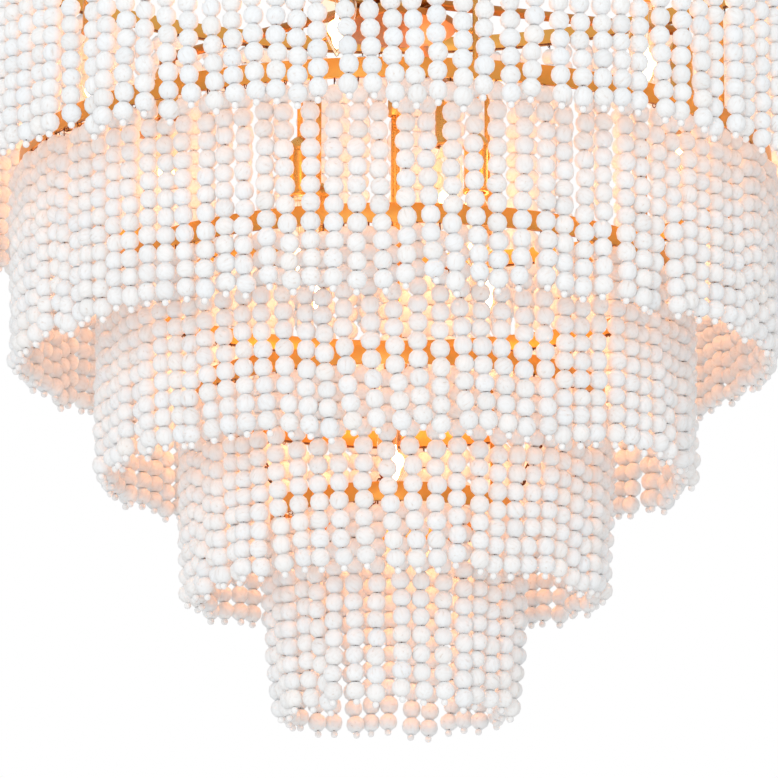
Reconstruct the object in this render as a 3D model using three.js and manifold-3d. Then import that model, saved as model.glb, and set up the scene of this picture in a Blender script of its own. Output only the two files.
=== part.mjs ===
// A five-tier beaded chandelier, hung from a ceiling box on a swivel and a stem.
// Millimetres, +Z up. The origin is the middle of the ceiling bracket's top face,
// so everything hangs below zero. Azimuths turn from +X towards +Y.

import * as THREE from 'three';
import { mergeVertices } from 'three/addons/utils/BufferGeometryUtils.js';
import Module from 'manifold-3d';

const wasm = await Module();
wasm.setup();

// Fits

const seatGap = 0.3;
const turningGap = 0.5;
const cutOverrun = 1;
const weldDepth = 1;

// Beads and strands

const beadDiameter = 16;
const seedDiameter = 5;
const strandLength = 176;
const topStrandLength = 288;
const strandSpacing = 19.7;
const stringWidth = 2.4;
const hoopWidth = 3;
const hoopHeight = 1.5;
const beadRadius = beadDiameter / 2;

// Tiers, counted from the lowest one up

const lowestRadius = 112;
const radialStep = 77.5;
const tierStep = 106.5;
const topTierStep = 249.5;
const topRingDrop = 330;
const bandHeight = 17;
const bandThickness = 3;
const pullInShares = [0.5, 0.4375, 0.25, 0.1875, 0.0625];
const firstStrandShares = [0.5, 0, 0, 0, 0.5];

// Bars and rods between the tiers

const barWidth = 12;
const barThickness = 3;
const rodRadius = 2.5;
const nutRadius = 4.2;
const nutHeight = 4;
const rodInset = 11;
const barOverhang = 7;
const rodAzimuths = [90, 210, 330];
const spokeAzimuths = [30, 90, 150, 210, 270, 330];

// Ceiling fittings

const bracketLength = 112;
const bracketWidth = 22;
const bracketThickness = 2.5;
const canopyRadius = 72;
const canopyDepth = 45;
const canopyWall = 1.5;
const canopyCornerRadius = 14;
const canopyHoleRadius = 20;
const studSpacing = 89;
const studRadius = 2;
const knobRadius = 7;
const studBelowCanopy = 6;

// Swivel

const socketRadius = 9;
const socketHeight = 15;
const spigotRadius = 4;
const spigotHeadRadius = 6;
const socketRoof = 3;
const socketLip = 4;
const yokePlateRadius = 14;
const yokePlateThickness = 3;
const swivelDrop = 32;
const cheekThickness = 3;
const cheekWidth = 9;
const cheekOverhang = 5;
const crossSize = 11;
const pinRadius = 2;

// Stem, hub and lamps

const stemRadius = 8;
const forkPlateThickness = 3;
const forkDrop = 9;
const collarRadius = 18;
const collarHeight = 14;
const shoulderRadius = 14;
const shoulderHeight = 4;
const hubBelowTopRing = 104;
const hubPlateRadius = 56;
const hubPlateThickness = 7;
const hubNeckRadius = 18;
const hubHeight = 50;
const armHeight = 30;
const armRadius = 4.8;
const armReach = 290;
const armEyeRadius = 8;
const armEyeHeight = 15;
const armAzimuths = [20, 80, 140, 200, 260, 320];
const crossHeight = 13;
const crossCollarWall = 5;
const crossCollarHeight = 9;
const crossReach = 113;
const dropRodRadius = 2.6;
const dropRodLength = 141;
const crossAzimuths = [40, 130, 220, 310];
const columnRadius = 4.2;
const columnDrop = 300;
const couplingDrop = 75;
const couplingRadius = 7;
const couplingHeight = 16;

// Lamp sockets and bulbs

const lampSocketRadius = 12;
const lampSocketLength = 55;
const lampMouthDepth = 8;
const lampMouthRadius = 9;
const capRadius = 6.5;
const bulbRadius = 17.5;
const bulbLength = 78;
const bulbFlareShares = [[0.06, 0.45], [0.24, 0.88], [0.45, 1], [0.8, 0.55]];

// Facets of round pieces

const bandSides = [24, 30, 34, 38, 42];
const canopySides = 24;
const hubSides = 20;
const stemSides = 12;
const tubeSides = 8;
const rodSides = 6;
const lampSides = 8;

const brass = new THREE.MeshStandardMaterial({ color: 0xc98b3c, metalness: 1, roughness: 0.35 });
const zinc = new THREE.MeshStandardMaterial({ color: 0xa9abad, metalness: 1, roughness: 0.5 });
const whitewash = new THREE.MeshStandardMaterial({ color: 0xece7e2, metalness: 0, roughness: 0.75 });
const glass = new THREE.MeshStandardMaterial({ color: 0xffe9c4, metalness: 0, roughness: 0.1 });

const radians = THREE.MathUtils.degToRad;

function polar(radius, azimuth, z) {
  return new THREE.Vector3(radius * Math.cos(azimuth), radius * Math.sin(azimuth), z);
}

function piece(name, geometry, material) {
  const mesh = new THREE.Mesh(geometry, material);
  mesh.name = name;
  return mesh;
}

// A turned piece from a list of [radius, height] points that runs up its outside.
function turned(profile, sides) {
  const points = profile.map(([radius, height]) => new THREE.Vector2(radius, height));
  const geometry = new THREE.LatheGeometry(points, sides);
  return geometry.rotateX(Math.PI / 2);
}

function ring(inner, outer, bottom, top, sides) {
  return turned([[inner, bottom], [outer, bottom], [outer, top], [inner, top], [inner, bottom]], sides);
}

function disc(radius, bottom, top, sides) {
  return turned([[0, bottom], [radius, bottom], [radius, top], [0, top]], sides);
}

function block(x, y, z) {
  return new THREE.BoxGeometry(x, y, z);
}

// A round bar along +X, from one distance to another.
function barAlongX(radius, from, to, sides) {
  const bar = disc(radius, from, to, sides);
  return bar.rotateY(Math.PI / 2);
}

function toManifold(geometry) {
  const bare = geometry.clone();
  bare.deleteAttribute('normal');
  bare.deleteAttribute('uv');
  const merged = mergeVertices(bare, seatGap / 1000);
  const corners = Array.from(merged.index.array);
  const kept = [];
  for (let i = 0; i < corners.length; i += 3) {
    const [a, b, c] = corners.slice(i, i + 3);
    if (a !== b && b !== c && c !== a) kept.push(a, b, c);
  }
  return new wasm.Manifold(new wasm.Mesh({
    numProp: 3,
    vertProperties: new Float32Array(merged.attributes.position.array),
    triVerts: new Uint32Array(kept),
  }));
}

function toGeometry(manifold) {
  const mesh = manifold.getMesh();
  const geometry = new THREE.BufferGeometry();
  geometry.setAttribute('position', new THREE.BufferAttribute(new Float32Array(mesh.vertProperties), 3));
  geometry.setIndex(Array.from(mesh.triVerts));
  geometry.computeVertexNormals();
  return geometry;
}

function joined(first, ...others) {
  const solid = others.reduce((whole, other) => whole.add(toManifold(other)), toManifold(first));
  return toGeometry(solid);
}

function cut(body, ...tools) {
  const solid = tools.reduce((left, tool) => left.subtract(toManifold(tool)), toManifold(body));
  return toGeometry(solid);
}

// A tier is worked out once from the driving sizes, and every piece of it reads its own tier.

function bandLevel(index) {
  const topIndex = pullInShares.length - 1;
  if (index === topIndex) return -topRingDrop;
  return -topRingDrop - topTierStep - tierStep * (topIndex - 1 - index);
}

function tierSizes(index) {
  const radius = lowestRadius + radialStep * index;
  const top = index === pullInShares.length - 1;
  const strandPairs = Math.round(Math.PI * radius / strandSpacing);
  const beadRow = top ? topStrandLength : strandLength;
  return {
    name: `tier${index + 1}`,
    radius,
    bottom: bandLevel(index),
    barLevel: bandLevel(index) + bandHeight / 2,
    strands: 2 * strandPairs,
    firstStrand: firstStrandShares[index],
    beads: Math.round(beadRow / beadDiameter),
    pullIn: beadDiameter * pullInShares[index],
    sides: bandSides[index],
  };
}

const tiers = pullInShares.map((share, index) => tierSizes(index));

// The bead curtain of one tier: a thin hoop below the band, and the strands that grow out of it.
// A strand is as wide as its beads, and narrows to the string at the top and to the seed bead at the
// bottom. Its two sections have three corners, turned against each other, so that six long facets run
// between them and make it nearly round halfway down. The first strand lies on the +X axis, or a share
// of the spacing past it, so that the strands of one tier hang before the gaps of another.

function strandCurtain(tier) {
  const hoopTop = tier.bottom - seatGap;
  const hoopBottom = hoopTop - hoopHeight;
  const length = tier.beads * beadDiameter;
  const positions = [];
  const faces = [];

  function vertex(radius, azimuth, z) {
    const point = polar(radius, azimuth, z);
    positions.push(point.x, point.y, point.z);
    return positions.length / 3 - 1;
  }

  function face(a, b, c) {
    faces.push(a, b, c);
  }

  // Joins two rings of corners round the same axis, whose counts may differ.
  function band(lower, upper) {
    let i = 0;
    let j = 0;
    while (i < lower.length || j < upper.length) {
      const low = lower[i % lower.length];
      const high = upper[j % upper.length];
      const nextLow = lower[(i + 1) % lower.length];
      const nextHigh = upper[(j + 1) % upper.length];
      if (j === upper.length || (i < lower.length && (i + 1) / lower.length <= (j + 1) / upper.length)) {
        face(low, nextLow, high);
        i += 1;
      } else {
        face(low, nextHigh, high);
        j += 1;
      }
    }
  }

  const step = 2 * Math.PI / tier.strands;
  const azimuthOf = (place) => (place + tier.firstStrand) * step;
  const halfString = stringWidth / 2 / tier.radius;
  const outerRing = [];
  const innerRing = [];
  for (let i = 0; i < tier.strands; i += 1) {
    outerRing.push(vertex(tier.radius + hoopWidth / 2, azimuthOf(i), hoopBottom));
    innerRing.push(vertex(tier.radius - hoopWidth / 2, azimuthOf(i) - halfString, hoopBottom));
    innerRing.push(vertex(tier.radius - hoopWidth / 2, azimuthOf(i) + halfString, hoopBottom));
  }
  const ridge = [];
  for (let i = 0; i < tier.strands; i += 2) {
    ridge.push(vertex(tier.radius, azimuthOf(i + 1 / 2), hoopTop));
  }
  band(outerRing, ridge);
  band([...innerRing].reverse(), [...ridge].reverse());

  for (let i = 0; i < tier.strands; i += 1) {
    const next = (i + 1) % tier.strands;
    face(outerRing[i], innerRing[2 * next], outerRing[next]);
    face(outerRing[i], innerRing[2 * i + 1], innerRing[2 * next]);
    strand(azimuthOf(i), [outerRing[i], innerRing[2 * i + 1], innerRing[2 * i]]);
  }

  function strand(azimuth, root) {
    const radiusAt = (drop) => tier.radius - tier.pullIn * drop / length;
    const sectionAt = (drop, turn) => root.map((corner, k) => {
      const angle = turn + 2 * Math.PI * k / root.length;
      const out = radiusAt(drop) + beadRadius * Math.cos(angle);
      const along = beadRadius * Math.sin(angle);
      return vertex(Math.hypot(out, along), azimuth + Math.atan2(along, out), hoopBottom - drop);
    });
    const upper = sectionAt(beadRadius, 0);
    const lower = sectionAt(length - beadRadius, -Math.PI / root.length);
    const tip = vertex(radiusAt(length), azimuth, hoopBottom - length - seedDiameter);
    band(upper, root);
    band(lower, upper);
    lower.forEach((corner, k) => face(tip, lower[(k + 1) % lower.length], corner));
  }

  const geometry = new THREE.BufferGeometry();
  geometry.setAttribute('position', new THREE.Float32BufferAttribute(positions, 3));
  geometry.setIndex(faces);
  geometry.computeVertexNormals();
  return piece(`${tier.name}_bead_strands`, geometry, whitewash);
}

// A flat bar that runs outwards along +X, with round holes for the rods.
function flatBar(from, to, holeDistances) {
  const outline = new THREE.Shape([
    new THREE.Vector2(from, -barWidth / 2),
    new THREE.Vector2(to, -barWidth / 2),
    new THREE.Vector2(to, barWidth / 2),
    new THREE.Vector2(from, barWidth / 2),
  ]);
  const holeRadius = (rodRadius + seatGap) / Math.cos(Math.PI / rodSides);
  outline.holes = holeDistances.map((distance) => {
    const hole = new THREE.Path();
    for (let i = 0; i < rodSides; i += 1) {
      const turn = 2 * Math.PI * i / rodSides;
      const x = distance + holeRadius * Math.cos(turn);
      const y = holeRadius * Math.sin(turn);
      if (i === 0) hole.moveTo(x, y);
      else hole.lineTo(x, y);
    }
    hole.closePath();
    return hole;
  });
  const bar = new THREE.ExtrudeGeometry(outline, { depth: barThickness, bevelEnabled: false });
  return bar.translate(0, 0, -barThickness / 2);
}

function turnedTo(geometry, azimuth, z) {
  return geometry.rotateZ(radians(azimuth)).translate(0, 0, z);
}

// The welded frame of a tier: its band, and the bars that reach in over the next tier's rods.
function tierFrame(index) {
  const tier = tiers[index];
  const inner = tier.radius - bandThickness / 2;
  const outer = tier.radius + bandThickness / 2;
  const hoop = ring(inner, outer, tier.bottom, tier.bottom + bandHeight, tier.sides);
  const ownRod = tier.radius - rodInset;
  const nextRod = ownRod - radialStep;
  const weldEnd = inner * Math.cos(Math.PI / tier.sides) + weldDepth;
  const lowest = index === 0;
  const reach = (lowest ? ownRod : nextRod) - barOverhang;
  const holes = lowest ? [ownRod] : [ownRod, nextRod];
  const bars = rodAzimuths.map((azimuth) => turnedTo(flatBar(reach, weldEnd, holes), azimuth, tier.barLevel));
  return piece(`${tier.name}_frame`, joined(hoop, ...bars), brass);
}

// The top frame has spokes to a collar that sits on the stem's shoulder.
function topFrame() {
  const tier = tiers[tiers.length - 1];
  const inner = tier.radius - bandThickness / 2;
  const hoop = ring(inner, tier.radius + bandThickness / 2, tier.bottom, tier.bottom + bandHeight, tier.sides);
  const bore = (stemRadius + seatGap) / Math.cos(Math.PI / stemSides);
  const low = tier.barLevel - collarHeight / 2;
  const collar = ring(bore, collarRadius, low, low + collarHeight, stemSides);
  const weldEnd = inner * Math.cos(Math.PI / tier.sides) + weldDepth;
  const rodPlace = tier.radius - rodInset - radialStep;
  const weldStart = collarRadius * Math.cos(Math.PI / stemSides) - weldDepth;
  const spokes = spokeAzimuths.map((azimuth) => {
    const holes = rodAzimuths.includes(azimuth) ? [rodPlace] : [];
    return turnedTo(flatBar(weldStart, weldEnd, holes), azimuth, tier.barLevel);
  });
  return piece(`${tier.name}_frame`, joined(hoop, collar, ...spokes), brass);
}

// A tie rod with a nut on the bar above and a nut under the bar that it carries.
function tieRod(index, azimuth, place) {
  const tier = tiers[index];
  const above = tiers[index + 1];
  const low = tier.barLevel - barThickness / 2 - seatGap;
  const high = above.barLevel + barThickness / 2 + seatGap;
  const rod = turned([
    [0, low - nutHeight],
    [nutRadius, low - nutHeight],
    [nutRadius, low],
    [rodRadius, low],
    [rodRadius, high],
    [nutRadius, high],
    [nutRadius, high + nutHeight],
    [0, high + nutHeight],
  ], rodSides);
  const mesh = piece(`${tier.name}_tie_rod_${place}`, rod, brass);
  mesh.position.copy(polar(tier.radius - rodInset, radians(azimuth), 0));
  mesh.rotation.z = radians(azimuth) + Math.PI / 2;
  return mesh;
}

// Ceiling bracket, canopy and the screws that hold the canopy up.

function ceilingBracket() {
  const strap = block(bracketLength, bracketWidth, bracketThickness);
  strap.translate(0, 0, -bracketThickness / 2);
  return piece('ceiling_bracket', strap, zinc);
}

function canopyShell() {
  const arcSteps = 3;
  const arc = (radius, wall) => Array.from({ length: arcSteps + 1 }, (value, i) => {
    const turn = Math.PI / 2 * i / arcSteps;
    const centre = canopyRadius - canopyCornerRadius;
    const height = -canopyDepth + canopyCornerRadius;
    return [centre + (radius - wall) * Math.sin(turn), height - (radius - wall) * Math.cos(turn)];
  });
  const outside = [[canopyHoleRadius, -canopyDepth], ...arc(canopyCornerRadius, 0), [canopyRadius, 0]];
  const inside = [[canopyHoleRadius, -canopyDepth + canopyWall], ...arc(canopyCornerRadius, canopyWall),
    [canopyRadius - canopyWall, 0]];
  const shell = turned([...outside, ...inside.reverse(), outside[0]], canopySides);
  const holeRadius = (studRadius + seatGap) / Math.cos(Math.PI / rodSides);
  const holes = [-1, 1].map((side) => {
    const hole = disc(holeRadius, -canopyDepth - cutOverrun, -canopyDepth + canopyWall + cutOverrun, rodSides);
    return hole.translate(side * studSpacing / 2, 0, 0);
  });
  return piece('canopy', cut(shell, ...holes), brass);
}

function canopyStud(name, side) {
  const top = -bracketThickness - seatGap;
  const bottom = -canopyDepth - studBelowCanopy;
  const stud = piece(name, disc(studRadius, bottom, top, rodSides), zinc);
  stud.position.x = side * studSpacing / 2;
  return stud;
}

function canopyKnob(name, side) {
  const top = -canopyDepth - seatGap;
  const middle = top - knobRadius;
  const bore = (studRadius + seatGap) / Math.cos(Math.PI / rodSides);
  const boreTop = -canopyDepth - studBelowCanopy - seatGap;
  const knob = piece(name, turned([
    [0, middle - knobRadius],
    [knobRadius * Math.sin(Math.PI / 4), middle - knobRadius * Math.cos(Math.PI / 4)],
    [knobRadius, middle],
    [knobRadius * Math.sin(Math.PI / 4), top],
    [bore, top],
    [bore, boreTop],
    [0, boreTop],
  ], tubeSides), brass);
  knob.position.x = side * studSpacing / 2;
  return knob;
}

// The hang-straight swivel: a spigot that turns in its socket, and a cross on two pairs of pins.

const socketTop = -bracketThickness - seatGap;
const socketFloor = socketTop - socketHeight;
const headTop = socketTop - socketRoof - turningGap;
const headBottom = socketFloor + socketLip + seatGap;

function hangerSocket() {
  return piece('hanger_socket', turned([
    [spigotRadius + turningGap, socketFloor],
    [socketRadius, socketFloor],
    [socketRadius, socketTop],
    [0, socketTop],
    [0, socketTop - socketRoof],
    [spigotHeadRadius + turningGap, socketTop - socketRoof],
    [spigotHeadRadius + turningGap, socketFloor + socketLip],
    [spigotRadius + turningGap, socketFloor + socketLip],
    [spigotRadius + turningGap, socketFloor],
  ], stemSides), zinc);
}

function pinAlongX(radius, length) {
  return barAlongX(radius, -length / 2, length / 2, tubeSides);
}

function pinAlongY(radius, length) {
  return pinAlongX(radius, length).rotateZ(Math.PI / 2);
}

const pinBore = (pinRadius + seatGap) / Math.cos(Math.PI / tubeSides);
const cheekInner = crossSize / 2 + turningGap;
const cheekOuter = cheekInner + cheekThickness;
const pinLength = 2 * cheekOuter;

function swivelYoke() {
  const plateTop = socketFloor - seatGap;
  const plate = turned([
    [0, plateTop - yokePlateThickness],
    [yokePlateRadius, plateTop - yokePlateThickness],
    [yokePlateRadius, plateTop],
    [spigotRadius, plateTop],
    [spigotRadius, headBottom],
    [spigotHeadRadius, headBottom],
    [spigotHeadRadius, headTop],
    [0, headTop],
  ], stemSides);
  const cheekTop = plateTop - weldDepth;
  const cheekBottom = -swivelDrop - cheekOverhang;
  const cheeks = [-1, 1].map((side) => {
    const cheek = block(cheekThickness, cheekWidth, cheekTop - cheekBottom);
    return cheek.translate(side * (cheekInner + cheekThickness / 2), 0, (cheekTop + cheekBottom) / 2);
  });
  const bore = pinAlongX(pinBore, pinLength + cutOverrun).translate(0, 0, -swivelDrop);
  return piece('swivel_yoke', cut(joined(plate, ...cheeks), bore), zinc);
}

function swivelCross() {
  const core = block(crossSize, crossSize, crossSize);
  const cross = joined(core, pinAlongX(pinRadius, pinLength), pinAlongY(pinRadius, pinLength));
  return piece('swivel_cross', cross.translate(0, 0, -swivelDrop), zinc);
}

// The stem: a fork on the swivel's cross, a tube down to the hub, and the top frame's shoulder.

const hubBottom = -topRingDrop - hubBelowTopRing;
const hubTop = hubBottom + hubHeight;
const armLevel = hubBottom + armHeight;

function stem() {
  const forkTop = -swivelDrop - forkDrop;
  const topTier = tiers[tiers.length - 1];
  const shoulderTop = topTier.barLevel - collarHeight / 2 - seatGap;
  const tube = turned([
    [0, hubTop + seatGap],
    [stemRadius, hubTop + seatGap],
    [stemRadius, shoulderTop - shoulderHeight],
    [shoulderRadius, shoulderTop - shoulderHeight],
    [shoulderRadius, shoulderTop],
    [stemRadius, shoulderTop],
    [stemRadius, forkTop - forkPlateThickness],
    [cheekOuter, forkTop - forkPlateThickness],
    [cheekOuter, forkTop],
    [0, forkTop],
  ], stemSides);
  const cheekTop = -swivelDrop + cheekOverhang;
  const cheekBottom = forkTop - weldDepth;
  const cheeks = [-1, 1].map((side) => {
    const cheek = block(cheekWidth, cheekThickness, cheekTop - cheekBottom);
    return cheek.translate(0, side * (cheekInner + cheekThickness / 2), (cheekTop + cheekBottom) / 2);
  });
  const bore = pinAlongY(pinBore, pinLength + cutOverrun).translate(0, 0, -swivelDrop);
  return piece('stem', cut(joined(tube, ...cheeks), bore), brass);
}

// The hub: a round plate under a neck, with six lamp arms that end in an eye over their sockets.

function topHub() {
  const body = turned([
    [0, hubBottom],
    [hubPlateRadius, hubBottom],
    [hubPlateRadius, hubBottom + hubPlateThickness],
    [hubNeckRadius, hubBottom + hubPlateThickness],
    [hubNeckRadius, hubTop - hubPlateThickness],
    [stemRadius + weldDepth, hubTop],
    [0, hubTop],
  ], hubSides);
  const arms = armAzimuths.flatMap((azimuth) => {
    const bar = barAlongX(armRadius, stemRadius, armReach, tubeSides);
    const eye = disc(armEyeRadius, -armEyeHeight / 2, armEyeHeight / 2, tubeSides).translate(armReach, 0, 0);
    return [turnedTo(bar, azimuth, armLevel), turnedTo(eye, azimuth, armLevel)];
  });
  return piece('top_hub', joined(body, ...arms), brass);
}

// A collar round the hub's neck carries four arms and their drop rods for the inner lamps.

const crossLevel = hubBottom + crossHeight + crossCollarHeight / 2;
const dropRodEnd = crossLevel - dropRodLength;

function lampCross() {
  const bore = (hubNeckRadius + seatGap) / Math.cos(Math.PI / hubSides);
  const collarTop = crossLevel + crossCollarHeight / 2;
  const collar = ring(bore, bore + crossCollarWall, crossLevel - crossCollarHeight / 2, collarTop, hubSides);
  const arms = crossAzimuths.flatMap((azimuth) => {
    const bar = barAlongX(columnRadius, bore + crossCollarWall / 2, crossReach + dropRodRadius, tubeSides);
    const rod = disc(dropRodRadius, -dropRodLength, 0, tubeSides).translate(crossReach, 0, 0);
    return [turnedTo(bar, azimuth, crossLevel), turnedTo(rod, azimuth, crossLevel)];
  });
  return piece('lamp_cross', joined(collar, ...arms), brass);
}

// The column down the middle is two rods that meet in a threaded coupling.

const couplingLevel = hubBottom - couplingDrop;
const columnEnd = hubBottom - columnDrop;

function columnUpper() {
  const rod = disc(columnRadius, couplingLevel + seatGap, hubBottom - seatGap, tubeSides);
  return piece('column_upper', rod, brass);
}

function columnLower() {
  return piece('column_lower', disc(columnRadius, columnEnd, couplingLevel - seatGap, tubeSides), brass);
}

function columnCoupling() {
  const bore = (columnRadius + seatGap) / Math.cos(Math.PI / tubeSides);
  const low = couplingLevel - couplingHeight / 2;
  return piece('column_coupling', ring(bore, couplingRadius, low, low + couplingHeight, tubeSides), brass);
}

// A lamp hangs below a level: a turned brass socket, and a bulb with its tip down.

function lampSocket(name) {
  const mouth = -lampSocketLength + lampMouthDepth;
  return piece(name, turned([
    [lampMouthRadius, -lampSocketLength],
    [lampSocketRadius, -lampSocketLength],
    [lampSocketRadius, -lampSocketRadius / 2],
    [lampSocketRadius / 2, 0],
    [0, 0],
    [0, mouth],
    [lampMouthRadius, mouth],
    [lampMouthRadius, -lampSocketLength],
  ], lampSides), brass);
}

function bulb(name) {
  const capTop = -lampSocketLength + lampMouthDepth - seatGap;
  const shoulder = -lampSocketLength;
  const flare = bulbFlareShares.map(([down, out]) => [bulbRadius * out, shoulder - bulbLength * down]);
  return piece(name, turned([
    [0, shoulder - bulbLength],
    ...flare.reverse(),
    [capRadius, shoulder],
    [capRadius, capTop],
    [0, capTop],
  ], lampSides), glass);
}

function lamp(name, position) {
  const group = new THREE.Group();
  group.position.copy(position);
  group.add(lampSocket(`${name}_socket`), bulb(`${name}_bulb`));
  return group;
}

const chandelier = new THREE.Group();

chandelier.add(
  ceilingBracket(),
  canopyShell(),
  canopyStud('canopy_stud_left', -1),
  canopyStud('canopy_stud_right', 1),
  canopyKnob('canopy_knob_left', -1),
  canopyKnob('canopy_knob_right', 1),
  hangerSocket(),
  swivelYoke(),
  swivelCross(),
  stem(),
  topHub(),
  lampCross(),
  columnUpper(),
  columnCoupling(),
  columnLower(),
);

tiers.forEach((tier, index) => {
  const top = index === tiers.length - 1;
  chandelier.add(top ? topFrame() : tierFrame(index), strandCurtain(tier));
  if (top) return;
  rodAzimuths.forEach((azimuth, i) => chandelier.add(tieRod(index, azimuth, i + 1)));
});

const eyeBottom = armLevel - armEyeHeight / 2 - seatGap;
armAzimuths.forEach((azimuth, i) => {
  chandelier.add(lamp(`outer_lamp_${i + 1}`, polar(armReach, radians(azimuth), eyeBottom)));
});
crossAzimuths.forEach((azimuth, i) => {
  chandelier.add(lamp(`inner_lamp_${i + 1}`, polar(crossReach, radians(azimuth), dropRodEnd - seatGap)));
});
chandelier.add(lamp('low_lamp', new THREE.Vector3(0, 0, columnEnd - seatGap)));

export default chandelier;
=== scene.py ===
# %% [markdown]
# # A beaded chandelier
#
# This lesson dresses a chandelier whose construction is already fixed. Five round tiers hang
# under each other on a stem. Each tier is a flat gold band, and wooden beads hang from it on
# strings, close together like a curtain. Lamps glow behind the curtains.
#
# The frame gives every piece at its real size, in metres, with +Z up and the ceiling at zero.
# We keep those places, and make each piece again with the detail that the eye expects.

# %% Load the frame
import math

import bmesh
import bpy
import numpy as np
from mathutils import Matrix, Vector


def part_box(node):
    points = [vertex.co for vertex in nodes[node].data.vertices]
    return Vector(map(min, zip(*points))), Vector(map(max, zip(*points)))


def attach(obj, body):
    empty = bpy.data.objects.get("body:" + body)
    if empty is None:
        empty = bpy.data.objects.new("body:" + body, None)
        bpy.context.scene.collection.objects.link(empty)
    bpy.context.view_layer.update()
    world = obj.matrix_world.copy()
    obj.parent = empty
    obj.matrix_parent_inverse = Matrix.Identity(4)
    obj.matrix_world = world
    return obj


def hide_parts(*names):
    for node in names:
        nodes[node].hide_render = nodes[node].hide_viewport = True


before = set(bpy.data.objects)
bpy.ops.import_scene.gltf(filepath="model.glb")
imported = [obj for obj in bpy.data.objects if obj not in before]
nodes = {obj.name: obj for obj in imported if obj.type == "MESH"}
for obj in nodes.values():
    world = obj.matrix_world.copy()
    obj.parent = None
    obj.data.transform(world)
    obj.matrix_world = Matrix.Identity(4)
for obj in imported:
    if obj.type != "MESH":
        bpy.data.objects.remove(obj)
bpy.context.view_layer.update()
MM = 0.001

# %% [markdown]
# ## The camera
#
# The photograph was taken from nearly four metres away with a long lens, a little below the
# lowest tier and looking up. A long lens keeps the near and far sides of a tier almost the
# same size. The object stands slightly right of the picture's middle, which a small lens
# shift gives without turning the camera.

# %% Camera
PICTURE_PIXELS = 778
SENSOR = 36
FOCAL_PIXELS = 4193
CAMERA_DISTANCE = 3.742
CAMERA_HEIGHT = -1.579
CAMERA_PITCH = math.radians(12.13)
AXIS_PIXELS_RIGHT = 6.4

camera_data = bpy.data.cameras.new("camera")
camera_data.sensor_width = SENSOR
camera_data.lens = SENSOR * FOCAL_PIXELS / PICTURE_PIXELS
camera_data.shift_x = -AXIS_PIXELS_RIGHT / PICTURE_PIXELS
camera = bpy.data.objects.new("camera", camera_data)
camera.location = (0, -CAMERA_DISTANCE, CAMERA_HEIGHT)
camera.rotation_euler = (math.pi / 2 + CAMERA_PITCH, 0, 0)
bpy.context.scene.collection.objects.link(camera)
bpy.context.scene.camera = camera
bpy.context.scene.view_settings.view_transform = "Standard"
print("lens:", round(camera_data.lens, 1), "mm")

# %% [markdown]
# ## Node helpers
#
# A material is a small graph of nodes. These helpers add a node, join two sockets and set up
# an empty material, so that each finish below stays short enough to read in one look.


# %% Node helpers
def add_node(material, kind, **inputs):
    node = material.node_tree.nodes.new(kind)
    for name, value in inputs.items():
        node.inputs[name.replace("_", " ")].default_value = value
    return node


def link(material, source, target):
    material.node_tree.links.new(source, target)


def new_material(name):
    material = bpy.data.materials.new(name)
    material.use_nodes = True
    shader = material.node_tree.nodes["Principled BSDF"]
    return material, shader


def colour_ramp(material, stops):
    ramp = add_node(material, "ShaderNodeValToRGB")
    elements = ramp.color_ramp.elements
    while len(elements) < len(stops):
        elements.new(0.5)
    for element, (position, colour) in zip(elements, stops):
        element.position = position
        element.color = (*colour, 1)
    return ramp


def object_noise(material, scale, detail=3, stretch=(1, 1, 1)):
    place = add_node(material, "ShaderNodeTexCoord")
    mapping = add_node(material, "ShaderNodeMapping", Scale=stretch)
    noise = add_node(material, "ShaderNodeTexNoise", Scale=scale, Detail=detail)
    link(material, place.outputs["Object"], mapping.inputs["Vector"])
    link(material, mapping.outputs["Vector"], noise.inputs["Vector"])
    return noise


def spread(material, source, low, high):
    """Turns a noise value from 0 to 1 into one from low to high."""
    node = add_node(material, "ShaderNodeMapRange")
    node.inputs["From Min"].default_value = 0.3
    node.inputs["From Max"].default_value = 0.7
    node.inputs["To Min"].default_value = low
    node.inputs["To Max"].default_value = high
    link(material, source, node.inputs["Value"])
    return node.outputs["Result"]


def add_bump(material, shader, height, strength, distance):
    bump = add_node(material, "ShaderNodeBump", Strength=strength, Distance=distance)
    link(material, height, bump.inputs["Height"])
    link(material, bump.outputs["Normal"], shader.inputs["Normal"])


# %% [markdown]
# ## Gold metal
#
# The bands, rods and arms are steel with a satin gold finish. It is a metal, so its colour
# sits in the reflection. Two noises do the rest: a broad one lets the tone drift from warm to
# deep gold along a band, and a fine, stretched one gives the faint brushing marks. The hub and
# its arms get a darker, redder gold than the bands. This is painted shade for their underside,
# which is seen in shadow from below.


# %% Gold finishes
def gold(name, deep, light, rough_low, rough_high, brush=(1, 1, 1)):
    material, shader = new_material(name)
    tone = colour_ramp(material, [(0.3, deep), (0.7, light)])
    link(material, object_noise(material, 14).outputs["Fac"], tone.inputs["Fac"])
    link(material, tone.outputs["Color"], shader.inputs["Base Color"])
    shader.inputs["Metallic"].default_value = 1
    marks = object_noise(material, 900, detail=2, stretch=brush)
    roughness = spread(material, marks.outputs["Fac"], rough_low, rough_high)
    link(material, roughness, shader.inputs["Roughness"])
    add_bump(material, shader, marks.outputs["Fac"], 0.12, 0.2 * MM)
    return material


BAND_DEEP = (0.59, 0.29, 0.065)
BAND_LIGHT = (0.70, 0.385, 0.10)
band_gold = gold("band_gold", BAND_DEEP, BAND_LIGHT, 0.30, 0.44, brush=(0.15, 0.15, 2))
rod_gold = gold("rod_gold", (0.54, 0.27, 0.065), (0.68, 0.38, 0.11), 0.24, 0.36)
# Painted shade: the hub's gold is darker than the bands' because its underside is seen in shadow.
hub_gold_painted_shade = gold("hub_gold_painted_shade", (0.35, 0.14, 0.035), (0.47, 0.205, 0.055), 0.32, 0.44)
canopy_gold = gold("canopy_gold", (0.72, 0.40, 0.17), (0.82, 0.50, 0.24), 0.22, 0.30)
print("gold finishes:", band_gold.name, rod_gold.name, hub_gold_painted_shade.name, canopy_gold.name)

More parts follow.
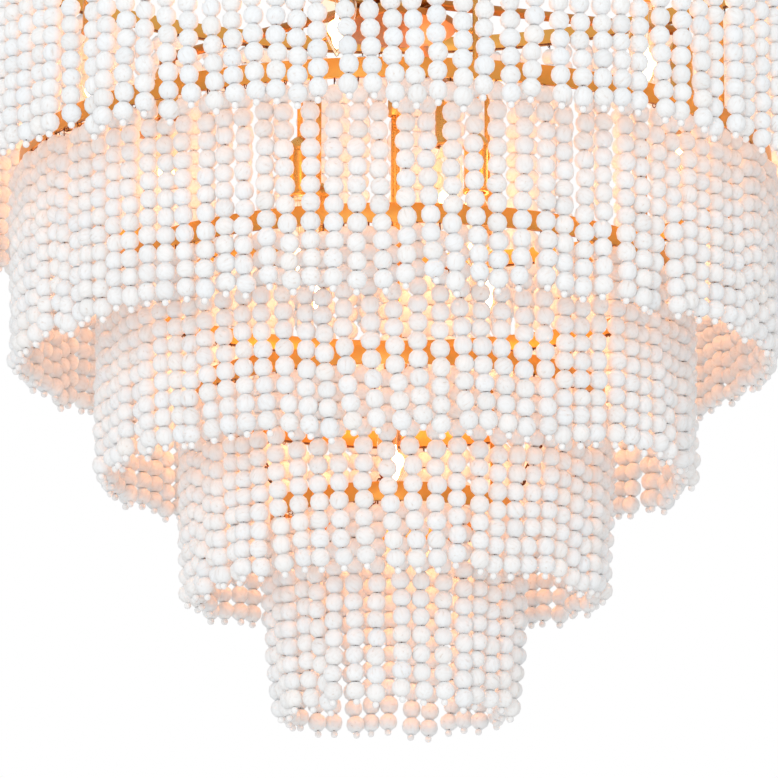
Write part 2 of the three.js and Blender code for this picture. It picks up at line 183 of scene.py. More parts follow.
# %% [markdown]
# ## Zinc plate
#
# The bracket and the swivel are hidden by the canopy. They are zinc plated, which shows as a
# grey with large, soft crystals, so a Voronoi texture shifts the tone a little from cell to cell.


# %% Zinc finish
def zinc_plate():
    material, shader = new_material("zinc_plate")
    place = add_node(material, "ShaderNodeTexCoord")
    crystals = add_node(material, "ShaderNodeTexVoronoi", Scale=260)
    link(material, place.outputs["Object"], crystals.inputs["Vector"])
    tone = colour_ramp(material, [(0.2, (0.50, 0.51, 0.53)), (0.8, (0.66, 0.67, 0.68))])
    link(material, crystals.outputs["Color"], tone.inputs["Fac"])
    link(material, tone.outputs["Color"], shader.inputs["Base Color"])
    shader.inputs["Metallic"].default_value = 1
    roughness = spread(material, crystals.outputs["Distance"], 0.35, 0.5)
    link(material, roughness, shader.inputs["Roughness"])
    return material


zinc = zinc_plate()
print("plating:", zinc.name)

# %% [markdown]
# ## Whitewashed wood
#
# Every bead is turned from pale wood and washed with thin white paint. The grain shows
# through as faint streaks, and no two beads match. One pattern over the whole curtain would
# run across from bead to bead and give the trick away. So each bead carries its own patch of
# the pattern: an attribute called grain holds each point's place inside its bead, turned and
# shifted at random, and another called tone makes the whole bead a little lighter or darker.

# %% Whitewash finish
WASH_BRIGHT = (0.932, 0.94, 0.943)
WASH_THIN = (0.885, 0.88, 0.873)
WOOD_STREAK = (0.79, 0.74, 0.70)
GRAIN_SCALE = 420


def whitewash():
    material, shader = new_material("whitewashed_wood")
    grain = add_node(material, "ShaderNodeAttribute")
    grain.attribute_name = "grain"
    along = add_node(material, "ShaderNodeMapping", Scale=(1, 1, 0.22))
    streaks = add_node(material, "ShaderNodeTexNoise", Scale=GRAIN_SCALE, Detail=4)
    link(material, grain.outputs["Vector"], along.inputs["Vector"])
    link(material, along.outputs["Vector"], streaks.inputs["Vector"])
    wash = colour_ramp(material, [(0.26, WOOD_STREAK), (0.36, WASH_THIN), (0.55, WASH_BRIGHT)])
    link(material, streaks.outputs["Fac"], wash.inputs["Fac"])
    tone = add_node(material, "ShaderNodeAttribute")
    tone.attribute_name = "tone"
    shade = add_node(material, "ShaderNodeMix")
    shade.data_type = "RGBA"
    shade.blend_type = "MULTIPLY"
    shade.inputs["Factor"].default_value = 1
    link(material, wash.outputs["Color"], shade.inputs["A"])
    link(material, tone.outputs["Color"], shade.inputs["B"])
    link(material, shade.outputs["Result"], shader.inputs["Base Color"])
    link(material, spread(material, streaks.outputs["Fac"], 0.72, 0.6), shader.inputs["Roughness"])
    shader.inputs["Specular IOR Level"].default_value = 0.25
    add_bump(material, shader, streaks.outputs["Fac"], 0.15, 0.3 * MM)
    return material


bead_wood = whitewash()
print("bead finish:", bead_wood.name)

# %% [markdown]
# ## Wire and seed beads
#
# The beads are strung on fine annealed wire, dark brown with a little shine, and the same wire
# ties each string to its band. Under the last wooden bead a small white glass bead stops it.


# %% Wire and seed finishes
def plain_noise(name, dark, light, roughness, metallic=0.0, scale=700):
    material, shader = new_material(name)
    tone = colour_ramp(material, [(0.35, dark), (0.65, light)])
    noise = object_noise(material, scale)
    link(material, noise.outputs["Fac"], tone.inputs["Fac"])
    link(material, tone.outputs["Color"], shader.inputs["Base Color"])
    shader.inputs["Metallic"].default_value = metallic
    shader.inputs["Roughness"].default_value = roughness
    add_bump(material, shader, noise.outputs["Fac"], 0.3, 0.2 * MM)
    return material, shader


WIRE_DARK = (0.10, 0.035, 0.015)
WIRE_LIGHT = (0.24, 0.09, 0.035)
wire_brown, _ = plain_noise("annealed_wire", WIRE_DARK, WIRE_LIGHT, 0.45, metallic=0.8)
seed_glass, seed_shader = plain_noise("seed_glass", (0.90, 0.90, 0.90), (0.96, 0.95, 0.94), 0.22)
seed_shader.inputs["IOR"].default_value = 1.45
print("small finishes:", wire_brown.name, seed_glass.name)

# %% [markdown]
# ## Lamp glass and the filament
#
# The bulbs are clear, so what the eye sees is the filament and a few highlights. The glass
# is thin: it lets the filament's light out unbent, so its piece casts no shadow. A faint warm
# emission in the glass is painted glow for the filament's light caught in it. The
# filament shines far above white, and that is what makes the small burnt-out cores.


# %% Lamp finishes
def glass_with_painted_glow():
    material, shader = new_material("glass_with_painted_glow")
    shader.inputs["Base Color"].default_value = (1.0, 0.93, 0.82, 1)
    shader.inputs["Transmission Weight"].default_value = 1
    shader.inputs["Roughness"].default_value = 0.03
    shader.inputs["IOR"].default_value = 1.12
    # Painted glow: a faint warm emission stands in for the filament's light caught in the glass.
    shader.inputs["Emission Color"].default_value = (1.0, 0.72, 0.42, 1)
    shader.inputs["Emission Strength"].default_value = 0.03
    return material


def glowing(name, colour, strength):
    material, shader = new_material(name)
    shader.inputs["Base Color"].default_value = (*colour, 1)
    shader.inputs["Emission Color"].default_value = (*colour, 1)
    shader.inputs["Emission Strength"].default_value = strength
    return material


lamp_glass = glass_with_painted_glow()
filament_glow = glowing("filament_glow", (1.0, 0.86, 0.62), 9)
print("lamp finishes:", lamp_glass.name, filament_glow.name)

# %% [markdown]
# ## Mesh helpers
#
# Most metal pieces are turned: a profile drawn beside the axis and spun round it. The spin
# leaves a seam and doubled points on the axis, which are merged, and its faces may point
# inwards, so the normals are worked out again. A narrow bevel on the sharp edges catches the
# light as a real machined edge does.

# %% Mesh helpers
Z_AXIS = Vector((0, 0, 1))
MERGE = 1e-6


def turned(bm, profile, segments=64, centre=(0, 0), closed=False):
    """Spins a chain of (radius, height) points round a vertical axis at centre."""
    x, y = centre
    points = [bm.verts.new((x + radius, y, height)) for radius, height in profile]
    edges = [bm.edges.new(pair) for pair in zip(points, points[1:])]
    if closed:
        edges.append(bm.edges.new((points[-1], points[0])))
    bmesh.ops.spin(bm, geom=points + edges, cent=(x, y, 0), axis=Z_AXIS, angle=2 * math.pi,
                   steps=segments, use_merge=True)
    bmesh.ops.remove_doubles(bm, verts=bm.verts, dist=MERGE)


def soften(bm, width, segments=2, sharp=math.radians(40)):
    """Bevels every edge whose faces meet more sharply than the given angle."""
    edges = [e for e in bm.edges if e.is_manifold and e.calc_face_angle(0) > sharp]
    bmesh.ops.bevel(bm, geom=edges, offset=width, offset_type="OFFSET", segments=segments,
                    profile=0.5, affect="EDGES", material=-1, clamp_overlap=True)


def joined_in(bm, other):
    """Adds a finished bmesh to another one and frees it."""
    mesh = bpy.data.meshes.new("joined")
    other.to_mesh(mesh)
    other.free()
    bm.from_mesh(mesh)
    bpy.data.meshes.remove(mesh)


def make_piece(name, bm, material, body, replaces=(), smooth=math.radians(35),
               outward=True):
    """Turns a bmesh into a finished piece on its body. It frees the bmesh."""
    if outward:
        bmesh.ops.recalc_face_normals(bm, faces=bm.faces)
    mesh = bpy.data.meshes.new(name)
    bm.to_mesh(mesh)
    bm.free()
    mesh.materials.append(material)
    mesh.shade_smooth()
    mesh.set_sharp_from_angle(angle=smooth)
    piece = bpy.data.objects.new(name, mesh)
    bpy.context.scene.collection.objects.link(piece)
    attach(piece, body)
    if replaces:
        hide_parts(*replaces)
    return piece


def round_box(bm, size, matrix, edge):
    """A box of the given size with bevelled edges, put in its place by a matrix."""
    part = bmesh.new()
    bmesh.ops.create_cube(part, size=1, matrix=Matrix.Diagonal((*size, 1)))
    soften(part, edge)
    bmesh.ops.transform(part, matrix=matrix, verts=part.verts)
    joined_in(bm, part)


def rod(bm, radius, start, end, segments=20, edge=0.0):
    """A round bar between two points, with its ends bevelled if an edge width is given."""
    start, end = Vector(start), Vector(end)
    run = end - start
    part = bmesh.new()
    bmesh.ops.create_cone(part, cap_ends=True, cap_tris=False, segments=segments,
                          radius1=radius, radius2=radius, depth=run.length)
    if edge:
        soften(part, edge, segments=2, sharp=math.radians(60))
    turn = Z_AXIS.rotation_difference(run).to_matrix().to_4x4()
    bmesh.ops.transform(part, matrix=Matrix.Translation((start + end) / 2) @ turn, verts=part.verts)
    joined_in(bm, part)


def at_azimuth(degrees, radius=0.0, z=0.0):
    """The matrix that carries +X to an azimuth, at a radius and height."""
    return Matrix.Rotation(math.radians(degrees), 4, "Z") @ Matrix.Translation((radius, 0, z))


# %% [markdown]
# ## The tiers' sizes
#
# Each band's radius and heights come from the frame. The number of strings follows from the
# radius and their spacing, rounded to an even number, as in the construction. Each tier is
# turned by its own part of a spacing, so that its strings hang before the gaps of the next,
# and the lower ends are turned a little further, because the curtain hangs slightly askew.

# %% Tier sizes
TIERS = 5
BEAD_PITCH = 16 * MM
STRAND_SPACING = 19.7 * MM
BAND_WALL = 3 * MM
BEADS_PER_STRAND = [11, 11, 11, 11, 18]
PULL_IN = [9 * MM, 7 * MM, 4 * MM, 3 * MM, 1 * MM]
FIRST_STRAND = [0.15, 0.62, 0.4, -0.08, 0.35]
LOWER_TURN = [0.1, 0.1, 0.3, 0.1, 0.1]
SEEDS = [21024, 12900, 3486, 21123, 9866]
STRING_START = 1.8 * MM


def tier_facts(number):
    low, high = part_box(f"tier{number}_frame")
    radius = -low.y - BAND_WALL / 2
    return {
        "number": number,
        "name": f"tier{number}",
        "radius": radius,
        "bottom": low.z,
        "top": high.z,
        "strands": 2 * round(math.pi * radius / STRAND_SPACING),
        "first": FIRST_STRAND[number - 1],
        "turn": LOWER_TURN[number - 1],
        "seed": SEEDS[number - 1],
        "beads": BEADS_PER_STRAND[number - 1],
        "pull_in": PULL_IN[number - 1],
    }


tiers = [tier_facts(number) for number in range(1, TIERS + 1)]
for tier in tiers:
    print(tier["name"], "radius", round(tier["radius"], 4), "strings", tier["strands"])

# %% [markdown]
# ## One bead
#
# The shape is repeated thousands of times, so it has only a few dozen faces. It starts
# as a coarse ball. The ring of points nearest to each end moves out to the bead's flat end,
# the next one out to a full shoulder, and the point at the pole sinks in to the mouth of the
# bore. Where two beads meet this leaves the thin dark line that the photograph shows.

# %% Bead shape
BEAD_RADIUS = 8.55 * MM
BEAD_HEIGHT = 15.7 * MM
BEAD_END = BEAD_HEIGHT / 2
END_RADIUS = 3.8 * MM
SHOULDER_RADIUS = 7.5 * MM
SHOULDER_HEIGHT = 4.3 * MM
BORE_DEPTH = 0.9 * MM
SEED_RADIUS = 3.3 * MM


def bead_mesh():
    bm = bmesh.new()
    bmesh.ops.create_uvsphere(bm, u_segments=12, v_segments=6, radius=BEAD_RADIUS)
    for v in bm.verts:
        side = math.copysign(1, v.co.z)
        across = math.hypot(v.co.x, v.co.y)
        if across < MERGE:
            v.co.z = side * (BEAD_END - BORE_DEPTH)
        elif across < 0.6 * BEAD_RADIUS:
            v.co = (v.co.x * END_RADIUS / across, v.co.y * END_RADIUS / across, side * BEAD_END)
        elif across < 0.95 * BEAD_RADIUS:
            out = SHOULDER_RADIUS / across
            v.co = (v.co.x * out, v.co.y * out, side * SHOULDER_HEIGHT)
    mesh = bpy.data.meshes.new("bead")
    bm.to_mesh(mesh)
    bm.free()
    return mesh


def seed_mesh():
    bm = bmesh.new()
    bmesh.ops.create_uvsphere(bm, u_segments=8, v_segments=5, radius=SEED_RADIUS)
    mesh = bpy.data.meshes.new("seed")
    bm.to_mesh(mesh)
    bm.free()
    return mesh


bead = bead_mesh()
seed = seed_mesh()
print("bead:", len(bead.polygons), "faces; seed:", len(seed.polygons), "faces")

# %% [markdown]
# ## How the strings hang
#
# Strings tied by hand never hang in an even row. Each one gets a small offset at its top, a
# larger one at its bottom. A ring of places is a row of complex numbers here, because a turn
# about the axis is then one product. Neighbours that came closer than a bead's width are
# pushed apart, a little at a time, until none touch.

# %% Places of the strings
TOP_WANDER = 2.2 * MM
BOTTOM_WANDER = 3.4 * MM
TOP_IN_AND_OUT = 0.8 * MM
BOTTOM_IN_AND_OUT = 3.0 * MM
CLEAR = 2 * BEAD_RADIUS + 0.1 * MM


def spread_apart(places, rounds=60):
    """Moves neighbours on a ring apart until each is at least a bead's width from the next."""
    for _ in range(rounds):
        step = np.roll(places, -1) - places
        gap = np.abs(step)
        push = np.where(gap < CLEAR, (CLEAR - gap) / 2, 0) * step / gap
        places = places - push + np.roll(push, 1)
    return places


def wobble(draw, amount, count):
    """Random offsets that never pass two and a half times their usual amount."""
    return draw.normal(0, amount, count).clip(-2.5 * amount, 2.5 * amount)


def ring_places(tier, radius, turn, wander, in_and_out, draw):
    count = tier["strands"]
    azimuths = 2 * math.pi * (np.arange(count) + tier["first"] + turn) / count
    along = wobble(draw, wander, count)
    outward = wobble(draw, in_and_out, count)
    return spread_apart((radius + outward + 1j * along) * np.exp(1j * azimuths))


# %% [markdown]
# ## The beads on a string
#
# The beads differ a little in height and width, and each sits slightly out of line and turned
# its own way. Here and there a gap is left, through which the wire shows. Because the strings
# also start at different heights, the beads make no even rows, and the eye reads them as
# strung by hand. One function places a single bead, and another one walks down the strings.

# %% Places of the beads
TOP_DROP = 3.2 * MM
HEIGHT_SPREAD = 0.03
WIDTH_SPREAD = 0.02
TILT = 0.05
ZIGZAG = 0.5 * MM
GAP_CHANCE = 0.25
WIDEST_GAP = 1.0 * MM
PULL_POWER = 2.6
SEED_DROP = 2.4 * MM
WIRE_END = 3.1 * MM


def strand_line(tier, top, bottom, drop):
    """A point on a string: it leans from top to bottom, and draws in towards its end."""
    share = max(drop, 0) / (tier["beads"] * BEAD_PITCH)
    flat = top + (bottom - top) * share ** PULL_POWER
    return Vector((flat.real, flat.imag, tier["bottom"] - STRING_START - drop))


def bead_place(centre, axis, height, draw):
    """The matrix of one bead: its size, its own small turns, the string's lean and its place."""
    lean = Z_AXIS.rotation_difference(axis).to_matrix().to_4x4()
    shift = Matrix.Translation(centre + Vector((*wobble(draw, ZIGZAG, 2), 0)))
    sideways = Matrix.Rotation(draw.normal(0, TILT), 4, "X")
    tilt = sideways @ Matrix.Rotation(draw.normal(0, TILT), 4, "Y")
    turn = Matrix.Rotation(draw.uniform(0, 2 * math.pi), 4, "Z")
    wide = draw.normal(1, WIDTH_SPREAD)
    size = Matrix.Diagonal((wide, wide, height / BEAD_HEIGHT, 1))
    return shift @ lean @ tilt @ turn @ size


def hang_tier(tier, draw):
    """The place of every bead and every seed bead of one tier, and the line of each wire."""
    tops = ring_places(tier, tier["radius"], 0, TOP_WANDER, TOP_IN_AND_OUT, draw)
    drawn_in = tier["radius"] - tier["pull_in"]
    bottoms = ring_places(tier, drawn_in, tier["turn"], BOTTOM_WANDER, BOTTOM_IN_AND_OUT, draw)
    starts = (TOP_DROP / 4 + wobble(draw, TOP_DROP, tier["strands"])).clip(0)
    beads, seeds, lines = [], [], []
    for top, bottom, start in zip(tops, bottoms, starts):
        drop = start
        points = [strand_line(tier, top, bottom, -STRING_START)]
        for _ in range(tier["beads"]):
            height = BEAD_HEIGHT * draw.normal(1, HEIGHT_SPREAD)
            centre = strand_line(tier, top, bottom, drop + height / 2)
            above = strand_line(tier, top, bottom, drop)
            below = strand_line(tier, top, bottom, drop + height)
            beads.append(bead_place(centre, above - below, height, draw))
            drop += height + (draw.uniform(0, WIDEST_GAP) if draw.random() < GAP_CHANCE else 0)
            points.append(centre)
        end = strand_line(tier, top, bottom, drop + SEED_DROP)
        seeds.append(Matrix.Translation(end) @ Matrix.Rotation(draw.uniform(0, 3), 4, "Z"))
        points.append(end - Z_AXIS * WIRE_END)
        lines.append(points)
    return beads, seeds, lines


def repeated(shape, places):
    """Copies a small mesh to every place, in one bmesh."""
    bm = bmesh.new()
    for place in places:
        copy = shape.copy()
        copy.transform(place)
        bm.from_mesh(copy)
        bpy.data.meshes.remove(copy)
    return bm


# %% [markdown]
# ## Grain and tone on every bead
#
# The copies follow each other in the mesh, so the attributes can be written in one go. For
# each bead a random turn and a far shift give its own part of the streaks, and the tone is
# one colour per bead, near white, some a touch cooler and some a touch warmer.

# %% Attributes for the beads
TONE_SPREAD = 0.022
TINT_SPREAD = 0.008
FAR_SHIFT = 5


def random_turn(draw):
    axis = Vector(draw.normal(0, 1, 3)).normalized()
    return np.array(Matrix.Rotation(draw.uniform(0, 2 * math.pi), 3, axis))


def mark_beads(piece, count, draw):
    local = np.array([v.co for v in bead.vertices])
    grain = np.concatenate([local @ random_turn(draw).T + draw.uniform(-FAR_SHIFT, FAR_SHIFT, 3)
                            for _ in range(count)])
    attribute = piece.data.attributes.new("grain", "FLOAT_VECTOR", "POINT")
    attribute.data.foreach_set("vector", grain.astype(np.float32).ravel())
    tint = draw.normal(0, TINT_SPREAD, count)
    value = 1 - np.abs(draw.normal(0, TONE_SPREAD, count))
    colours = np.stack([value + tint, value, value - tint, np.ones(count)], axis=1)
    per_point = np.repeat(colours, len(bead.vertices), axis=0)
    attribute = piece.data.attributes.new("tone", "FLOAT_COLOR", "POINT")
    attribute.data.foreach_set("color", per_point.astype(np.float32).ravel())


# %% [markdown]
# ## The curtains
#
# Each tier's curtain becomes its beads, its strings and its seed beads. The widest tier has
# too many beads for one piece, so a tier is cut into as many arcs as its bead count asks for.
# The piece that holds the beads stands for the plain curtain of the construction.

# %% Curtains
BEADS_PER_PIECE = 1300
STRING_RADIUS = 0.5 * MM


def string_bmesh(lines):
    """Thin wires, each in two straight halves, because a string draws in towards its end."""
    bm = bmesh.new()
    for points in lines:
        middle = points[len(points) // 2]
        rod(bm, STRING_RADIUS, points[0], middle, segments=4)
        rod(bm, STRING_RADIUS, middle, points[-1], segments=4)
    return bm


def make_curtain(tier):
    draw = np.random.default_rng(tier["seed"])
    beads, seeds, lines = hang_tier(tier, draw)
    arcs = math.ceil(len(beads) / BEADS_PER_PIECE)
    share = math.ceil(len(beads) / arcs / tier["beads"]) * tier["beads"]
    curtain = f"{tier['name']}_bead_strands"
    for arc in range(arcs):
        places = beads[arc * share:(arc + 1) * share]
        name = f"{tier['name']}_beads" + (f"_{arc + 1}" if arcs > 1 else "")
        piece = make_piece(name, repeated(bead, places), bead_wood, "fixture",
                           replaces=[curtain], smooth=math.pi, outward=False)
        mark_beads(piece, len(places), draw)
    make_piece(f"{tier['name']}_seed_beads", repeated(seed, seeds), seed_glass, "fixture",
               smooth=math.pi, outward=False)
    make_piece(f"{tier['name']}_wires", string_bmesh(lines), wire_brown, "fixture", smooth=math.pi)
    print(tier["name"], "beads", len(beads), "in", arcs, "pieces")
    return lines


strand_lines = [make_curtain(tier) for tier in tiers]
print("strings:", sum(len(lines) for lines in strand_lines))

# %% [markdown]
# ## The bands
#
# A band is a hoop of flat bar. Three bars reach inwards from it to the rods of the tier
# below, and the top tier's six spokes run in to a collar on the stem. The construction draws
# the hoops with few sides, so each frame is made again here: a rectangle is spun in many
# steps, and the bars are boxes with softened edges.

# %% Bands and bars
ROD_INSET = 11 * MM
RADIAL_STEP = tiers[1]["radius"] - tiers[0]["radius"]
BAR_WIDTH = 12 * MM
BAR_THICK = 3 * MM
BAR_OVERHANG = 7 * MM
ROD_AZIMUTHS = (90, 210, 330)
SPOKE_AZIMUTHS = (30, 90, 150, 210, 270, 330)
COLLAR_BORE = 8.3 * MM
COLLAR_RADIUS = 18 * MM
COLLAR_HALF = 7 * MM
EDGE = 0.35 * MM


def ring_section(inner, outer, low, high):
    """The rectangle that is spun into a flat ring."""
    return [(inner, low), (outer, low), (outer, high), (inner, high)]


def band_hoop(bm, tier):
    inner, outer = tier["radius"] - BAND_WALL / 2, tier["radius"] + BAND_WALL / 2
    part = bmesh.new()
    turned(part, ring_section(inner, outer, tier["bottom"], tier["top"]), segments=144, closed=True)
    soften(part, EDGE, sharp=math.radians(60))
    joined_in(bm, part)


def bar_level(tier):
    return (tier["bottom"] + tier["top"]) / 2


def radial_bar(bm, tier, azimuth, start, end):
    place = at_azimuth(azimuth, (start + end) / 2, bar_level(tier))
    round_box(bm, (end - start, BAR_WIDTH, BAR_THICK), place, EDGE)


def stem_collar(bm, tier):
    level = bar_level(tier)
    part = bmesh.new()
    turned(part, ring_section(COLLAR_BORE, COLLAR_RADIUS, level - COLLAR_HALF, level + COLLAR_HALF),
           segments=48, closed=True)
    soften(part, 2 * EDGE)
    joined_in(bm, part)


def make_frame(tier):
    bm = bmesh.new()
    band_hoop(bm, tier)
    own = tier["radius"] - ROD_INSET
    wall = tier["radius"] - BAND_WALL / 2
    if tier["number"] == TIERS:
        stem_collar(bm, tier)
        for azimuth in SPOKE_AZIMUTHS:
            radial_bar(bm, tier, azimuth, COLLAR_RADIUS - 1 * MM, wall)
    else:
        reach = (own if tier["number"] == 1 else own - RADIAL_STEP) - BAR_OVERHANG
        for azimuth in ROD_AZIMUTHS:
            radial_bar(bm, tier, azimuth, reach, wall)
    make_piece(f"{tier['name']}_band", bm, band_gold, "fixture",
               replaces=[f"{tier['name']}_frame"])


for tier in tiers:
    make_frame(tier)
band_height = tiers[0]["top"] - tiers[0]["bottom"]
print("bands:", len(tiers), "each", round(band_height / MM, 1), "mm high")

# %% [markdown]
# ## Tie rods
#
# Each tier hangs from the bars above on three rods. A rod is a plain round bar, with a nut
# above the upper bar and one below the lower one. Six-sided nuts come from a cone with six
# segments, and a narrow bevel rounds their corners.

# %% Tie rods
ROD_RADIUS = 2.5 * MM
NUT_RADIUS = 4.2 * MM
NUT_HEIGHT = 4 * MM


def nut(bm, spot, low):
    part = bmesh.new()
    place = Matrix.Translation((spot.x, spot.y, low + NUT_HEIGHT / 2))
    bmesh.ops.create_cone(part, cap_ends=True, segments=6, radius1=NUT_RADIUS,
                          radius2=NUT_RADIUS, depth=NUT_HEIGHT, matrix=place)
    soften(part, EDGE)
    joined_in(bm, part)


def make_rod(node):
    low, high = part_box(node)
    spot = (low + high) / 2
    bm = bmesh.new()
    rod(bm, ROD_RADIUS, (spot.x, spot.y, low.z), (spot.x, spot.y, high.z), edge=EDGE)
    nut(bm, spot, low.z)
    nut(bm, spot, high.z - NUT_HEIGHT)
    make_piece(f"{node}_fine", bm, rod_gold, "fixture", replaces=[node])


tie_rods = [node for node in sorted(nodes) if "_tie_rod_" in node]
for node in tie_rods:
    make_rod(node)
print("tie rods:", len(tie_rods))

# %% [markdown]
# ## Wire ties
#
# A dark wire runs round inside the lower edge of each band, and a small loop over it holds
# each string. The wire's dark line is also painted shade for the band's shaded lower edge.
# A loop is a tiny ring: a five-sided circle spun in a few steps, then repeated
# at the top of every string.

# %% Wire ties
WIRE_RADIUS = 0.45 * MM
LOOP_RADIUS = 2.2 * MM
HOOP_WIRE_RADIUS = 0.9 * MM
LOOP_DROP = 0.6 * MM


def wire_ring(radius, wire, sides, steps):
    """A small ring of round wire that stands upright: a circle of few sides, spun."""
    bm = bmesh.new()
    bmesh.ops.create_circle(bm, cap_ends=False, segments=sides, radius=wire,
                            matrix=Matrix.Translation((radius, 0, 0)))
    bmesh.ops.spin(bm, geom=bm.verts[:] + bm.edges[:], cent=(0, 0, 0), axis=(0, 1, 0),
                   angle=2 * math.pi, steps=steps, use_merge=True)
    bmesh.ops.remove_doubles(bm, verts=bm.verts, dist=MERGE)
    bmesh.ops.recalc_face_normals(bm, faces=bm.faces)
    return bm


def loop_mesh():
    bm = wire_ring(LOOP_RADIUS, WIRE_RADIUS, 5, 10)
    mesh = bpy.data.meshes.new("loop")
    bm.to_mesh(mesh)
    bm.free()
    return mesh


def painted_shade_wire_hoop(bm, radius, level, thick):
    wire = bmesh.new()
    corners = [math.pi / 3 * k for k in range(6)]
    section = [(radius + thick * math.cos(a), level + thick * math.sin(a)) for a in corners]
    turned(wire, section, segments=144, closed=True)
    joined_in(bm, wire)


def make_ties(tier, lines):
    inner = tier["radius"] - BAND_WALL / 2 - HOOP_WIRE_RADIUS
    places = []
    for points in lines:
        azimuth = math.degrees(math.atan2(points[0].y, points[0].x))
        places.append(at_azimuth(azimuth, inner, tier["bottom"] - LOOP_DROP))
    bm = repeated(loop_mesh(), places)
    # The dark hoop holds the loops and is also painted shade along the band's lower edge.
    painted_shade_wire_hoop(bm, inner, tier["bottom"] + HOOP_WIRE_RADIUS, HOOP_WIRE_RADIUS)
    make_piece(f"{tier['name']}_wire_ties", bm, wire_brown, "fixture")


for tier, lines in zip(tiers, strand_lines):
    make_ties(tier, lines)
print("loops:", sum(len(lines) for lines in strand_lines))

# %% [markdown]
# ## Steadying chains
#
# The lowest tier is also steadied by three light chains, which run from the bars above out of
# the rods' way to its band. A link is a ring pulled long. The links are set along a line that
# sags a little, each turned a quarter from the one before.

# %% Chains
LINK_LENGTH = 10 * MM
LINK_WIDTH = 6 * MM
LINK_WIRE = 0.8 * MM
LINK_STEP = LINK_LENGTH - 3.4 * MM
CHAIN_SAG = 3 * MM
CHAIN_TOP = 175 * MM
LINK_TWIST = 0.4
CHAIN_AZIMUTHS = ((90, 16), (210, -8), (330, 14))


def link_mesh():
    bm = wire_ring(LINK_WIDTH / 2, LINK_WIRE, 6, 12)
    stretch = LINK_LENGTH / 2 - LINK_WIDTH / 2
    for v in bm.verts:
        v.co.z += math.copysign(stretch, v.co.z)
    mesh = bpy.data.meshes.new("link")
    bm.to_mesh(mesh)
    bm.free()
    return mesh


def chain_places(start, end):
    run = end - start
    count = math.ceil(run.length / LINK_STEP)
    turn = Z_AXIS.rotation_difference(run).to_matrix().to_4x4()
    places = []
    for k in range(count + 1):
        share = k / count
        spot = start + run * share - Z_AXIS * CHAIN_SAG * 4 * share * (1 - share)
        quarter = Matrix.Rotation(math.pi / 2 * (k % 2) + LINK_TWIST, 4, "Z")
        places.append(Matrix.Translation(spot) @ turn @ quarter)
    return places


def make_chains():
    low_tier, next_tier = tiers[0], tiers[1]
    places = []
    for azimuth, lean in CHAIN_AZIMUTHS:
        top = at_azimuth(azimuth, CHAIN_TOP, bar_level(next_tier) - BAR_THICK).translation
        foot = at_azimuth(azimuth + lean, low_tier["radius"], low_tier["top"] + 1.5 * MM).translation
        places += chain_places(top, foot)
    make_piece("steadying_chains", repeated(link_mesh(), places), wire_brown, "fixture",
               outward=False)
    print("chain links:", len(places))


make_chains()

# %% [markdown]
# ## Hub and lamp cross
#
# The hub under the top tier is a round plate with a neck, and six tubes leave it for the
# outer lamps. A collar round the neck carries four arms, with a rod hanging from each. The
# plate, neck and collar are turned, and the tubes are plain rods set round the axis.

# %% Hub
HUB_PLATE = 56 * MM
ARM_AZIMUTHS = [20 + 60 * k for k in range(6)]
CROSS_AZIMUTHS = [40 + 90 * k for k in range(4)]
ARM_REACH = 290 * MM
ARM_RADIUS = 4.8 * MM
CROSS_REACH = 113 * MM
CROSS_HALF = 4.5 * MM
DROP_RADIUS = 2.6 * MM

hub_low, hub_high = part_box("top_hub")
arm_level = hub_low.z + 30 * MM


def make_hub():
    bm = bmesh.new()
    base = hub_low.z
    top = hub_high.z
    turned(bm, [(0, base), (HUB_PLATE, base), (HUB_PLATE, base + 7 * MM), (46 * MM, base + 9.5 * MM),
                (22 * MM, base + 12 * MM), (18 * MM, base + 16 * MM), (18 * MM, top - 9 * MM),
                (16 * MM, top - 4 * MM), (9 * MM, top), (0, top)], segments=72)
    soften(bm, 0.8 * MM, segments=3)
    for azimuth in ARM_AZIMUTHS:
        turn = at_azimuth(azimuth, 0, arm_level)
        eye = turn @ Vector((ARM_REACH, 0, 0))
        rod(bm, ARM_RADIUS, turn @ Vector((15 * MM, 0, 0)), eye, segments=24)
        rod(bm, 7 * MM, turn @ Vector((17 * MM, 0, 0)), turn @ Vector((25 * MM, 0, 0)),
            segments=24, edge=0.8 * MM)
        rod(bm, 8 * MM, eye - Z_AXIS * 7.5 * MM, eye + Z_AXIS * 7.5 * MM, segments=32, edge=1 * MM)
    make_piece("hub_and_arms", bm, hub_gold_painted_shade, "fixture", replaces=["top_hub"])


def make_cross():
    low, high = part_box("lamp_cross")
    level = high.z - CROSS_HALF
    bm = bmesh.new()
    turned(bm, ring_section(18.3 * MM, 23 * MM, level - CROSS_HALF, level + CROSS_HALF),
           segments=48, closed=True)
    soften(bm, 0.6 * MM)
    for azimuth in CROSS_AZIMUTHS:
        turn = at_azimuth(azimuth, 0, level)
        arm_end = turn @ Vector((CROSS_REACH + DROP_RADIUS, 0, 0))
        rod(bm, 4.2 * MM, turn @ Vector((21 * MM, 0, 0)), arm_end, edge=1 * MM)
        drop = turn @ Vector((CROSS_REACH, 0, 0))
        rod(bm, DROP_RADIUS, (drop.x, drop.y, low.z), (drop.x, drop.y, level), edge=EDGE)
    make_piece("lamp_cross_fine", bm, rod_gold, "fixture", replaces=["lamp_cross"])


make_hub()
make_cross()
print("arms:", len(ARM_AZIMUTHS), "drop rods:", len(CROSS_AZIMUTHS))

# %% [markdown]
# ## Column
#
# The column runs down the axis to the lowest lamp. It is two rods that meet in a six-sided
# coupling. Their threaded ends are profiles that zigzag, so the rings are real shape. A true
# screw would take a helix and many more faces, and at this size nobody could tell.

# %% Column
COLUMN_RADIUS = 4.2 * MM
THREAD_PITCH = 1.6 * MM
THREAD_DEPTH = 0.5 * MM
THREAD_LENGTH = 22 * MM


